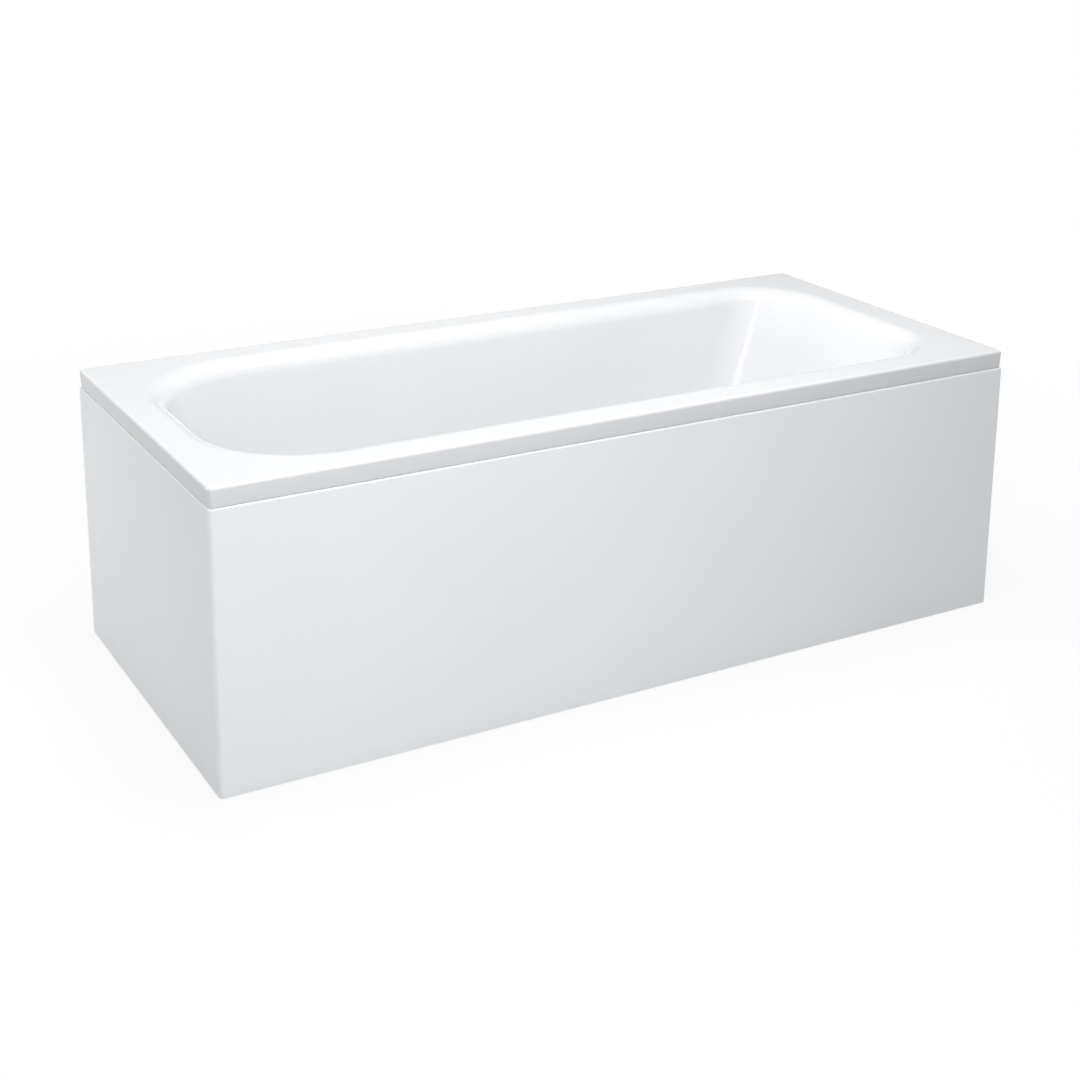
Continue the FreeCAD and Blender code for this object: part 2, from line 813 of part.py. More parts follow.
def trap_body():
    cup = rod(trap_radius, trap_floor_gap, trap_top)
    inlet = rod(trap_collar_radius, trap_top, inlet_end)
    outlet_root = math.sqrt(trap_radius ** 2 - trap_collar_radius ** 2)
    outlet = moved(to_back(rod(trap_collar_radius, outlet_root, outlet_end)), -waste_x, 0, 0)
    body = join([cup, inlet, outlet])
    chamber = rod(trap_radius - trap_wall, trap_floor_gap + trap_wall, trap_top - trap_wall)
    way_out = moved(to_back(rod(collar_bore, 0, outlet_end)), -waste_x, 0, 0)
    way_in = rod(collar_bore, trap_top - trap_wall, inlet_end)
    cap_hole = rod(cap_thread_radius + thread_clearance, trap_floor_gap, trap_floor_gap + trap_wall)
    return at_waste(body.cut(chamber).cut(way_out).cut(way_in).cut(cap_hole))


def trap_seals():
    return Part.makeCompound([at_waste(union_seal(inlet_end)), to_back(union_seal(outlet_end))])


def trap_cleaning_cap():
    head = rod(cap_radius, trap_floor_gap - cap_height, trap_floor_gap)
    thread = rod(cap_thread_radius, trap_floor_gap, trap_floor_gap + trap_wall)
    return at_waste(join([head, thread]))


def outlet_pipe():
    start = trap_radius
    pipe = rod(waste_outlet_radius, start, outlet_pipe_end)
    stop_top = outlet_pipe_end - outlet_stop_from_end
    stop = rod(outlet_stop_radius, stop_top - outlet_stop_length, stop_top)
    return to_back(join([pipe, stop]).cut(rod(waste_outlet_radius - pipe_wall, start, outlet_pipe_end)))


os.makedirs("parts", exist_ok=True)

save("bath_shell", bath_shell())
save("l_panel", l_panel())
save("base_board", base_board())
save("front_batten", front_batten())
save("end_batten", end_batten())
save("panel_clips", panel_clips())
save("rail_foot_end", rail(rail_foot_x))
save("rail_head_end", rail(rail_head_x))
save("rail_screws", rail_screws())
save("rail_nuts", rail_nuts())

for end_name, rail_at in (("foot", rail_foot_x), ("head", rail_head_x)):
    for side_name, place in zip(("front", "back"), foot_places(rail_at)):
        save("spindle_" + end_name + "_" + side_name, spindle(*place))
        save("foot_cup_" + end_name + "_" + side_name, foot_cup(*place))

save("wall_bracket_back_left", moved(wall_bracket(), -bracket_back_spread / 2, half_width, 0))
save("wall_bracket_back_right", moved(wall_bracket(), bracket_back_spread / 2, half_width, 0))
save("wall_bracket_end", end_bracket())

save("waste_flange", at_waste(waste_flange()))
save("waste_seals", waste_seals())
save("waste_body", at_waste(waste_body()))
save("plug_cap", at_waste(plug_cap()))
save("plug_seal", at_waste(plug_seal()))
save("plug_stem", at_waste(plug_stem()))

save("overflow_flange", on_wall(overflow_flange()))
save("overflow_seal", on_wall(overflow_seal()))
save("overflow_body", on_wall(overflow_body()))
save("overflow_knob", on_wall(overflow_knob()))
save("overflow_hose", overflow_hose())
save("hose_clips", hose_clips())
save("control_cable", control_cable())

save("trap_inlet_nut", at_waste(union_nut(inlet_end)))
save("outlet_nut", to_back(union_nut(outlet_end)))
save("trap_seals", trap_seals())
save("trap_body", trap_body())
save("trap_cleaning_cap", trap_cleaning_cap())
save("outlet_pipe", outlet_pipe())
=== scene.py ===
import bpy
import bmesh
import json
import math
import numpy as np
from mathutils import Matrix


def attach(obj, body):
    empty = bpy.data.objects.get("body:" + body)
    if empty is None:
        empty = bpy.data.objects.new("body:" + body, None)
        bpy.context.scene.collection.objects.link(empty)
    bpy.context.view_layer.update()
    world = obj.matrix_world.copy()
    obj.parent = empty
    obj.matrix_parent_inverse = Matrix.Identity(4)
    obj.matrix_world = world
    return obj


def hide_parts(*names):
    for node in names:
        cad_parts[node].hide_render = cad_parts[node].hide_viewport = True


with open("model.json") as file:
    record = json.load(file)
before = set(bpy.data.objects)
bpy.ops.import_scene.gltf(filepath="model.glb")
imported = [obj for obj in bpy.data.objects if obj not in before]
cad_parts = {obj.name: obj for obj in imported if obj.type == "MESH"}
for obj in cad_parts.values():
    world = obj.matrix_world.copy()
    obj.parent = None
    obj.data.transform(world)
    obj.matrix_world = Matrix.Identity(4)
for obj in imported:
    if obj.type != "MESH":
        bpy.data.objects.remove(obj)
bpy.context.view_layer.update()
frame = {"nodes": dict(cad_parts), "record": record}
mm = 0.001
print("frame loaded:", len(frame["nodes"]), "nodes")


# mesh helpers

weld = {"doubles": 2e-6, "slivers": 1e-6, "sharp": 40.0}  # metres, metres, degrees


# quads of a grid of rows x cols points; a closed direction joins its last line to its first
def gridQuads(rows, cols, closedRows=False, closedCols=False):
    r = np.arange(rows if closedRows else rows - 1)
    c = np.arange(cols if closedCols else cols - 1)
    r, c = np.meshgrid(r, c, indexing="ij")
    r2, c2 = (r + 1) % rows, (c + 1) % cols
    quads = np.stack([r * cols + c, r * cols + c2, r2 * cols + c2, r2 * cols + c], axis=-1)
    return quads.reshape(-1, 4).tolist()


# flat ends of a tube of rows x cols points: its first row and its last
def endCaps(rows, cols):
    return [list(range(cols))[::-1], list(range((rows - 1) * cols, rows * cols))]


# doubles merged, slivers taken out, faces turned outwards
def closeMesh(mesh):
    work = bmesh.new()
    work.from_mesh(mesh)
    bmesh.ops.remove_doubles(work, verts=work.verts, dist=weld["doubles"])
    bmesh.ops.dissolve_degenerate(work, edges=work.edges, dist=weld["slivers"])
    bmesh.ops.recalc_face_normals(work, faces=work.faces)
    work.to_mesh(mesh)
    work.free()


# smooth faces, with edges past the sharp angle kept crisp
def smoothFaces(mesh, sharp):
    mesh.polygons.foreach_set("use_smooth", np.full(len(mesh.polygons), True))
    mesh.set_sharp_from_angle(angle=math.radians(sharp))
    mesh.update()


# one piece at the origin from points in millimetres, riding on its body
def makePiece(name, points, faces, materials, body, faceMaterial=None, sharp=weld["sharp"]):
    mesh = bpy.data.meshes.new(name)
    mesh.from_pydata((points.reshape(-1, 3) * mm).tolist(), [], faces)
    for material in materials:
        mesh.materials.append(material)
    if faceMaterial is not None:
        mesh.polygons.foreach_set("material_index", np.asarray(faceMaterial, dtype=np.int32))
    closeMesh(mesh)
    smoothFaces(mesh, sharp)
    piece = bpy.data.objects.new(name, mesh)
    bpy.context.scene.collection.objects.link(piece)
    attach(piece, body)
    return piece


# smooth 0 to 1 step: three squares less two cubes
def ease(t):
    t = np.clip(t, 0, 1)
    return t * t * (3 - 2 * t)


# material helpers

# Principled material with its Object coordinates; the middle of the rough range stands until one is linked
def newMaterial(name, color, rough, metallic=0.0):
    material = bpy.data.materials.new(name)
    material.use_nodes = True
    tree = material.node_tree
    shader = tree.nodes["Principled BSDF"]
    shader.inputs["Base Color"].default_value = (*color, 1)
    shader.inputs["Roughness"].default_value = sum(rough) / 2
    shader.inputs["Metallic"].default_value = metallic
    coords = tree.nodes.new("ShaderNodeTexCoord")
    return material, tree, shader, coords


# noise of a given feature size in metres, read from Object coordinates
def addNoise(tree, coords, size, detail=3.0, roughness=0.5, stretch=(1, 1, 1)):
    mapping = tree.nodes.new("ShaderNodeMapping")
    mapping.inputs["Scale"].default_value = stretch
    tree.links.new(coords.outputs["Object"], mapping.inputs["Vector"])
    noise = tree.nodes.new("ShaderNodeTexNoise")
    noise.inputs["Scale"].default_value = 1 / size
    noise.inputs["Detail"].default_value = detail
    noise.inputs["Roughness"].default_value = roughness
    tree.links.new(mapping.outputs["Vector"], noise.inputs["Vector"])
    return noise.outputs["Fac"]


# cells of a given size in metres, each with its own three values
def addCells(tree, coords, size, stretch=(1, 1, 1)):
    mapping = tree.nodes.new("ShaderNodeMapping")
    mapping.inputs["Scale"].default_value = stretch
    tree.links.new(coords.outputs["Object"], mapping.inputs["Vector"])
    cells = tree.nodes.new("ShaderNodeTexVoronoi")
    cells.inputs["Scale"].default_value = 1 / size
    tree.links.new(mapping.outputs["Vector"], cells.inputs["Vector"])
    split = tree.nodes.new("ShaderNodeSeparateColor")
    tree.links.new(cells.outputs["Color"], split.inputs["Color"])
    return split.outputs


# base colour from a 0 to 1 value, through colours at their stops
def addColor(tree, source, shader, stops, colors):
    ramp = tree.nodes.new("ShaderNodeValToRGB")
    elements = ramp.color_ramp.elements
    while len(elements) < len(stops):
        elements.new(0.5)
    for element, stop, color in zip(elements, stops, colors):
        element.position = stop
        element.color = (*color, 1)
    tree.links.new(source, ramp.inputs["Fac"])
    tree.links.new(ramp.outputs["Color"], shader.inputs["Base Color"])


# a value moved from 0..1 to low..high and linked to a socket
def addRange(tree, source, low, high, socket):
    span = tree.nodes.new("ShaderNodeMapRange")
    span.inputs["To Min"].default_value = low
    span.inputs["To Max"].default_value = high
    tree.links.new(source, span.inputs["Value"])
    tree.links.new(span.outputs["Result"], socket)
    return span


# two values joined by one operation
def addMath(tree, operation, first, second):
    node = tree.nodes.new("ShaderNodeMath")
    node.operation = operation
    tree.links.new(first, node.inputs[0])
    tree.links.new(second, node.inputs[1])
    return node.outputs["Value"]


# surface bump of a given height in metres
def addBump(tree, source, shader, height):
    bump = tree.nodes.new("ShaderNodeBump")
    bump.inputs["Distance"].default_value = height
    bump.inputs["Strength"].default_value = 1.0
    tree.links.new(source, bump.inputs["Height"])
    tree.links.new(bump.outputs["Normal"], shader.inputs["Normal"])


# materials

acrylicLook = {"color": (0.785, 0.793, 0.803), "tint": (0.77, 0.781, 0.795), "rough": (0.09, 0.15),
               "wave": 0.11, "waveHeight": 0.00012, "cloud": 0.35, "haze": 0.0875}
panelLook = {"color": (0.893, 0.917, 0.932), "tint": (0.872, 0.899, 0.917), "rough": (0.16, 0.26),
             "wave": 0.30, "waveHeight": 0.0004, "cloud": 0.45, "haze": 0.1125}
sheetLook = {"stops": (0.35, 0.7), "ior": 1.49}


# glossy cast sheet: faint colour clouds, faint gloss changes and the slow waves of formed acrylic
def glossSheet(name, look):
    material, tree, shader, coords = newMaterial(name, look["color"], look["rough"])
    cloud = addNoise(tree, coords, look["cloud"], detail=2.0)
    addColor(tree, cloud, shader, sheetLook["stops"], (look["color"], look["tint"]))
    haze = addNoise(tree, coords, look["haze"], detail=4.0)
    addRange(tree, haze, *look["rough"], shader.inputs["Roughness"])
    wave = addNoise(tree, coords, look["wave"], detail=1.0)
    addBump(tree, wave, shader, look["waveHeight"])
    shader.inputs["IOR"].default_value = sheetLook["ior"]
    return material


fibreLook = {"resin": (0.79, 0.78, 0.74), "strand": (0.88, 0.875, 0.85), "dark": (0.67, 0.658, 0.61),
             "stops": (0.48, 0.6, 0.75), "rough": (0.62, 0.38), "length": 0.026, "width": 0.004,
             "height": 0.0006, "detail": 2.0,
             "turns": ((0.0, 0.25, 0.2), (0.0, 1.05, 1.0), (0.0, 1.85, 1.75), (0.0, 2.6, 2.5))}


# sprayed glass fibre: crossing layers of chopped strands under uneven resin
def fibreBacking():
    material, tree, shader, coords = newMaterial("fibreBacking", fibreLook["resin"], fibreLook["rough"])
    top = None
    for turn in fibreLook["turns"]:
        mapping = tree.nodes.new("ShaderNodeMapping")
        mapping.vector_type = "TEXTURE"  # turned first, then stretched
        mapping.inputs["Rotation"].default_value = turn
        mapping.inputs["Scale"].default_value = (fibreLook["length"], fibreLook["width"], fibreLook["width"])
        tree.links.new(coords.outputs["Object"], mapping.inputs["Vector"])
        noise = tree.nodes.new("ShaderNodeTexNoise")
        noise.inputs["Scale"].default_value = 1.0
        noise.inputs["Detail"].default_value = fibreLook["detail"]
        tree.links.new(mapping.outputs["Vector"], noise.inputs["Vector"])
        layer = noise.outputs["Fac"]
        top = layer if top is None else addMath(tree, "MAXIMUM", top, layer)
    tones = (fibreLook["dark"], fibreLook["resin"], fibreLook["strand"])
    addColor(tree, top, shader, fibreLook["stops"], tones)
    addRange(tree, top, *fibreLook["rough"], shader.inputs["Roughness"])
    addBump(tree, top, shader, fibreLook["height"])
    return material


boardLook = {"pale": (0.66, 0.50, 0.33), "mid": (0.52, 0.37, 0.22), "dark": (0.34, 0.22, 0.12),
             "stops": (0.1, 0.45, 0.8), "rough": (0.6, 0.9), "flake": 0.007, "stretch": (0.55, 1.0, 1.6),
             "grain": 0.002, "height": 0.0004}


# pressed wood flakes: stretched cells of three browns with a fine rough bump
def chipBoard():
    material, tree, shader, coords = newMaterial("chipBoard", boardLook["mid"], boardLook["rough"])
    flakes = addCells(tree, coords, boardLook["flake"], boardLook["stretch"])
    browns = (boardLook["dark"], boardLook["mid"], boardLook["pale"])
    addColor(tree, flakes["Red"], shader, boardLook["stops"], browns)
    grain = addNoise(tree, coords, boardLook["grain"], detail=5.0)
    addRange(tree, grain, *boardLook["rough"], shader.inputs["Roughness"])
    addBump(tree, grain, shader, boardLook["height"])
    return material


zincLook = {"pale": (0.66, 0.68, 0.70), "dark": (0.47, 0.49, 0.52), "rough": (0.26, 0.46), "spangle": 0.011,
            "line": 0.003, "lineStretch": (1.0, 0.12, 1.0), "lineHeight": 0.00008}


# zinc plate: crystal spangles of differing grey and gloss, with faint drawn lines
def zincSteel():
    material, tree, shader, coords = newMaterial("zincSteel", zincLook["pale"], zincLook["rough"], 1.0)
    spangles = addCells(tree, coords, zincLook["spangle"])
    addColor(tree, spangles["Green"], shader, (0.0, 1.0), (zincLook["dark"], zincLook["pale"]))
    addRange(tree, spangles["Blue"], *zincLook["rough"], shader.inputs["Roughness"])
    lines = addNoise(tree, coords, zincLook["line"], 3.0, 0.6, zincLook["lineStretch"])
    addBump(tree, lines, shader, zincLook["lineHeight"])
    return material


chromeLook = {"color": (0.80, 0.81, 0.83), "shade": (0.74, 0.75, 0.775), "stops": (0.3, 0.7),
              "rough": (0.03, 0.10), "haze": 0.02}


# polished plate with a trace of haze
def chromePlate():
    material, tree, shader, coords = newMaterial("chromePlate", chromeLook["color"], chromeLook["rough"], 1.0)
    haze = addNoise(tree, coords, chromeLook["haze"], detail=4.0)
    addRange(tree, haze, *chromeLook["rough"], shader.inputs["Roughness"])
    addColor(tree, haze, shader, chromeLook["stops"], (chromeLook["color"], chromeLook["shade"]))
    return material


mouldLook = {"cloud": 0.04, "stops": (0.35, 0.7), "grain": 0.0012, "height": 0.00006}
mouldings = {
    "whitePlastic": {"color": (0.80, 0.80, 0.785), "shade": (0.76, 0.76, 0.74), "rough": (0.34, 0.5)},
    "greyHose": {"color": (0.50, 0.51, 0.52), "shade": (0.45, 0.46, 0.47), "rough": (0.32, 0.48)},
    "blackPlastic": {"color": (0.03, 0.03, 0.033), "shade": (0.045, 0.045, 0.048), "rough": (0.4, 0.6)},
    "blackRubber": {"color": (0.02, 0.02, 0.021), "shade": (0.03, 0.03, 0.03), "rough": (0.6, 0.85)},
}


# moulded plastic or rubber: fine spark texture and a slow change of shade
def mouldedPlastic(name):
    look = mouldings[name]
    material, tree, shader, coords = newMaterial(name, look["color"], look["rough"])
    cloud = addNoise(tree, coords, mouldLook["cloud"], detail=2.0)
    addColor(tree, cloud, shader, mouldLook["stops"], (look["color"], look["shade"]))
    spark = addNoise(tree, coords, mouldLook["grain"], detail=2.0)
    addRange(tree, spark, *look["rough"], shader.inputs["Roughness"])
    addBump(tree, spark, shader, mouldLook["height"])
    return material


acrylicWhite = glossSheet("acrylicWhite", acrylicLook)
panelWhite = glossSheet("panelWhite", panelLook)
fibre = fibreBacking()
board = chipBoard()
zinc = zincSteel()
chrome = chromePlate()
moulded = {name: mouldedPlastic(name) for name in mouldings}
slotLooks = {"acrylic": acrylicWhite, "panel_acrylic": panelWhite, "board": board, "galvanised_steel": zinc,
             "chrome_trim": chrome, "white_plastic": moulded["whitePlastic"],
             "grey_hose": moulded["greyHose"], "black_plastic": moulded["blackPlastic"],
             "black_rubber": moulded["blackRubber"]}
for sub in frame["record"]["subparts"]:
    node = frame["nodes"][sub["node"]]
    node.data.materials.clear()
    node.data.materials.append(slotLooks[sub["material_slot"]])
print("materials made:", len(slotLooks) + 1)


# bath shell, in millimetres and degrees

bath = {"length": 1700.0, "width": 750.0, "height": 560.0, "wall": 5.0, "skirt": 36.0, "lean": 2.5,
        "rimCorner": 7.0, "edgeRound": 6.0, "deckFoot": 53.0, "deckHead": 65.0, "deckSide": 57.0,
        "floor": 140.0, "roll": 42.0, "bend": 80.0, "sideSlope": 12.0, "footSlope": 12.0, "headSlope": 28.0,
        "cornerFoot": 225.0, "cornerHead": 165.0, "taper": 0.75, "wasteEdge": 58.0, "wasteHole": 26.0,
        "overflowDrop": 95.0, "overflowHole": 26.0, "lip": 0.8, "lipMid": 0.2, "innerLip": 0.6,
        "leastCorner": 0.4}
# counts along each part of the grid, and the close rows that hold its edges
shellGrid = {"long": 48, "short": 18, "corner": 28, "roll": 16, "wall": 12, "bend": 16, "floor": 10,
             "round": 6, "hold": 1.5, "innerHold": 1.0, "deckHold": 0.06, "floorHold": (0.01, 0.06, 0.985)}


# rounded rectangles, one per row: four straight sides and four quarter arcs, sampled at the same counts
def outlines(x0, x1, half, r0, r1):
    x0, x1, half, r0, r1 = [np.asarray(v, float).reshape(-1, 1) for v in (x0, x1, half, r0, r1)]
    ones = np.ones_like(x0)
    tLong = np.arange(shellGrid["long"]) / shellGrid["long"]
    tShort = np.arange(shellGrid["short"]) / shellGrid["short"]
    tCorner = np.arange(shellGrid["corner"]) / shellGrid["corner"] * math.pi / 2
    a, b = x0 + r0, x1 - r1
    xs = [a + (b - a) * tLong, b + r1 * np.sin(tCorner), x1 * np.ones_like(tShort), b + r1 * np.cos(tCorner),
          b + (a - b) * tLong, a - r0 * np.sin(tCorner), x0 * np.ones_like(tShort), a - r0 * np.cos(tCorner)]
    side1, side0 = half - r1, half - r0
    ys = [-half * np.ones_like(tLong), -side1 - r1 * np.cos(tCorner), side1 * (2 * tShort - 1),
          side1 + r1 * np.sin(tCorner), half * np.ones_like(tLong), side0 + r0 * np.cos(tCorner),
          side0 * (1 - 2 * tShort), -side0 - r0 * np.sin(tCorner)]
    return np.concatenate([x * ones for x in xs], axis=1), np.concatenate([y * ones for y in ys], axis=1)


# share of the side, foot and head walls at each column: one along a straight, eased across each corner
def wallShares():
    up = ease(np.arange(shellGrid["corner"]) / shellGrid["corner"])
    full, none = np.ones(shellGrid["short"]), np.zeros(shellGrid["long"])
    quiet = np.zeros(shellGrid["corner"])
    head = np.concatenate([none, up, full, 1 - up, none, quiet, 0 * full, quiet])
    foot = np.concatenate([none, quiet, 0 * full, quiet, none, up, full, 1 - up])
    return 1 - head - foot, foot, head


# a wall's inward step and height along its roll arc, its straight slope and its floor arc
def wallProfile(slope, skin):
    s = math.radians(slope)
    roll, bend = bath["roll"] - skin, bath["bend"] + skin
    rollCentre, bendCentre = bath["height"] - bath["roll"], bath["floor"] + bath["bend"]
    turn = np.linspace(0, math.pi / 2 - s, shellGrid["roll"])
    stepRoll, zRoll = roll * np.sin(turn), rollCentre + roll * np.cos(turn)
    zFoot = bendCentre - bend * math.sin(s)
    zWall = np.linspace(zRoll[-1], zFoot, shellGrid["wall"] + 2)[1:-1]
    stepWall = stepRoll[-1] + (zRoll[-1] - zWall) * math.tan(s)
    stepFoot = stepRoll[-1] + (zRoll[-1] - zFoot) * math.tan(s)
    back = np.linspace(math.pi / 2 - s, 0, shellGrid["bend"])
    stepBend = stepFoot + bend * (math.cos(s) - np.sin(back))
    zBend = bendCentre - bend * np.cos(back)
    return np.concatenate([stepRoll, stepWall, stepBend]), np.concatenate([zRoll, zWall, zBend])


# basin on one skin: outlines stepped inwards by each wall's own profile, heights shared round the corners
def basinRows(skin):
    sideStep, sideZ = wallProfile(bath["sideSlope"], skin)
    footStep, footZ = wallProfile(bath["footSlope"], skin)
    headStep, headZ = wallProfile(bath["headSlope"], skin)
    end = bath["length"] / 2
    x0, x1 = bath["deckFoot"] + footStep - end, end - bath["deckHead"] - headStep
    half, shrink = bath["width"] / 2 - bath["deckSide"] - sideStep, bath["taper"] * sideStep
    x, y = outlines(x0, x1, half, bath["cornerFoot"] - shrink, bath["cornerHead"] - shrink)
    side, foot, head = wallShares()
    z = np.outer(sideZ, side) + np.outer(footZ, foot) + np.outer(headZ, head)
    return np.stack([x, y, z], axis=-1)


# rim rows: the outer rectangle drawn in by each step, at each height; front and foot end lean in below
def rimRows(steps, heights):
    steps = np.asarray(steps, float)
    corner = np.maximum(bath["rimCorner"] - steps, bath["leastCorner"])
    end, side = bath["length"] / 2 - steps, bath["width"] / 2 - steps
    x, y = outlines(-end, end, side, corner, corner)
    z = np.asarray(heights, float).reshape(-1, 1) * np.ones_like(x)
    lean = bath["lean"] * (bath["height"] - z) / bath["skirt"]
    return np.stack([x + lean * (0.5 - x / bath["length"]), y + lean * (0.5 - y / bath["width"]), z], axis=-1)


# floor rows: rays from the basin's edge to the waste hole, shortened evenly
def floorRows(edge, centre, shares):
    away = edge[:, :2] - centre
    reach = np.linalg.norm(away, axis=1, keepdims=True)
    flat = centre + away / reach * (reach + (bath["wasteHole"] - reach) * shares.reshape(-1, 1, 1))
    height = np.broadcast_to(edge[:, 2:], (*flat.shape[:2], 1))
    return np.concatenate([flat, height], axis=2)


# whole shell as one closed grid: rim outside, deck, basin, floor, then its underside back to the skirt
def shellRows():
    top, under = basinRows(0.0), basinRows(bath["wall"])
    deckZ, skirtZ, wall = bath["height"], bath["height"] - bath["skirt"], bath["wall"]
    edge, hold, lip, lipMid = bath["edgeRound"], shellGrid["hold"], bath["lip"], bath["lipMid"]
    bow = np.linspace(0, math.pi / 2, shellGrid["round"])
    rimOut = rimRows(np.concatenate([[lip, lipMid, 0, 0], edge * (1 - np.cos(bow)), [edge + hold]]),
                     np.concatenate([[skirtZ, skirtZ + lipMid, skirtZ + lip, deckZ - edge - hold],
                                     deckZ - edge + edge * np.sin(bow), [deckZ]]))
    deckHold = top[:1] + (rimOut[-1:] - top[:1]) * shellGrid["deckHold"]
    wasteAt = np.array([top[-1, :, 0].min() + bath["wasteEdge"], 0.0])
    first, low, high = shellGrid["floorHold"]
    shares = np.concatenate([[first], np.linspace(low, high, shellGrid["floor"]), [1.0]])
    floorTop = floorRows(top[-1], wasteAt, shares)
    floorUnder = floorRows(under[-1], wasteAt, shares)[::-1]
    inner, innerLip = shellGrid["innerHold"], bath["innerLip"]
    rimIn = rimRows([wall + inner, wall, wall, wall - innerLip],
                    [deckZ - wall, deckZ - wall - inner, skirtZ + innerLip, skirtZ])
    rows = np.concatenate([rimOut, deckHold, top, floorTop, floorUnder, under[::-1], rimIn])
    topRows = len(rimOut) + 1 + len(top) + len(floorTop)
    place = np.arange(len(rows))
    backing = (place >= topRows - 1) & (place <= len(rows) - len(rimIn))  # the skirt's inside stays acrylic
    return rows, backing


rows, backing = shellRows()
shell = makePiece("bathShell", rows, gridQuads(len(rows), rows.shape[1], True, True), [acrylicWhite, fibre],
                  "bath", np.repeat(backing.astype(int), rows.shape[1]))
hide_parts("bath_shell")

hole = {"around": 72, "depth": 15.0}


# round hole through a piece: a closed cylinder about a point and a direction, taken away from it
def cutHole(piece, at, direction, radius):
    direction, side = np.asarray(direction, float), np.array([0, 1.0, 0])
    turn = np.linspace(0, 2 * math.pi, hole["around"], endpoint=False).reshape(-1, 1)
    circle = at + (np.cos(turn) * np.cross(direction, side) + np.sin(turn) * side) * radius
    points = np.concatenate([circle - direction * hole["depth"], circle + direction * hole["depth"]]) * mm
    mesh = bpy.data.meshes.new("holeCutter")
    faces = gridQuads(2, hole["around"], False, True) + endCaps(2, hole["around"])
    mesh.from_pydata(points.tolist(), [], faces)
    closeMesh(mesh)
    cutter = bpy.data.objects.new("holeCutter", mesh)
    bpy.context.scene.collection.objects.link(cutter)
    cut = piece.modifiers.new("hole", "BOOLEAN")
    cut.object, cut.operation, cut.solver = cutter, "DIFFERENCE", "EXACT"
    graph = bpy.context.evaluated_depsgraph_get()
    result = bpy.data.meshes.new_from_object(piece.evaluated_get(graph))
    piece.modifiers.clear()
    piece.data = result
    bpy.data.objects.remove(cutter)
    smoothFaces(result, weld["sharp"])


footStep, footZ = wallProfile(bath["footSlope"], 0.0)
overflowZ = bath["height"] - bath["overflowDrop"]
overflowX = bath["deckFoot"] - bath["length"] / 2 + np.interp(overflowZ, footZ[::-1], footStep[::-1])
slope = math.radians(bath["footSlope"])
outOfWall = (math.cos(slope), 0, math.sin(slope))
cutHole(shell, np.array([overflowX, 0, overflowZ]), outOfWall, bath["overflowHole"])
print("bath shell:", len(shell.data.polygons), "faces")


# L panel, in millimetres

panel = {"thick": 4.0, "corner": 8.0, "edge": 3.5, "flange": 22.0, "seam": 1.0, "floorGap": 2.0, "lip": 0.6,
         "lipHold": 2.0, "hold": 1.2, "slack": 0.1, "arc": 12, "round": 8,
         "spans": (0.0, 0.001, 0.3, 0.6, 0.9, 0.999)}


# section of the panel as inward step and height: face, rounded top edge, two flanges and the back
def panelSection():
    t, e, f, h, lip = [panel[k] for k in ("thick", "edge", "flange", "hold", "lip")]
    z0, z1 = panel["floorGap"], bath["height"] - bath["skirt"] - panel["seam"]
    bow = np.linspace(0, math.pi / 2, panel["round"])
    insideStep = [e + h, f - h, f, f, f - h, t + h, t, t, t, t + h, f - h, f, f, f - h]
    insideZ = [z1, z1, z1] + [z1 - t] * 4 + [z1 - t - h, z0 + t + h] + [z0 + t] * 3 + [z0, z0]
    step = np.concatenate([[lip, 0, 0, 0], e * (1 - np.cos(bow)), insideStep])
    z = np.concatenate([[z0, z0 + lip, z0 + panel["lipHold"], z1 - e - h], z1 - e + e * np.sin(bow), insideZ])
    return step, z


# the L path drawn in by each step: head end's return, front, corner arc, end, back return
# past the arc's centre the corner is a plain mitre; on a return the section's hollow is filled to the flange
def panelRows():
    step, z = panelSection()
    t, f = panel["thick"], panel["flange"]
    hollow = (z > panel["floorGap"]) & (z < z.max() - t + panel["slack"]) & (step >= t)
    filled = np.where(hollow, f, step).reshape(-1, 1)
    step = step.reshape(-1, 1)
    x0, y0, x1, y1 = -bath["length"] / 2, -bath["width"] / 2, bath["length"] / 2, bath["width"] / 2
    turn = np.linspace(0, math.pi / 2, panel["arc"])
    radius = np.maximum(panel["corner"] - step, 0.0)
    cx, cy = x0 + np.maximum(panel["corner"], step), y0 + np.maximum(panel["corner"], step)
    share = np.array(panel["spans"])
    ones, pair = np.ones(len(share)), np.ones(2)
    endX, endY = np.array([x1, x1 - t]) + 0 * step, np.array([y1 - t, y1]) + 0 * step
    x = np.concatenate([endX, x1 - t + (cx - x1 + t) * share, cx - radius * np.sin(turn), (x0 + step) * ones,
                        (x0 + filled) * pair], axis=1)
    y = np.concatenate([(y0 + filled) * pair, (y0 + step) * ones, cy - radius * np.cos(turn),
                        cy + (y1 - t - cy) * (1 - share[::-1]), endY], axis=1)
    return np.stack([x, y, z.reshape(-1, 1) * np.ones_like(x)], axis=-1)


strip = panelRows()
count, cols = strip.shape[:2]
faces = gridQuads(count, cols, True, False)
faces += [list(range(0, count * cols, cols)), list(range(cols - 1, count * cols, cols))[::-1]]
panelPiece = makePiece("lPanel", strip, faces, [panelWhite], "panel")
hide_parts("l_panel")
print("L panel:", len(panelPiece.data.polygons), "faces")


# levelling feet, in millimetres and degrees

spindle = {"pitch": 1.5, "depth": 0.75, "around": 20, "perTurn": 4, "chamfer": 1.0, "sharp": 180.0}


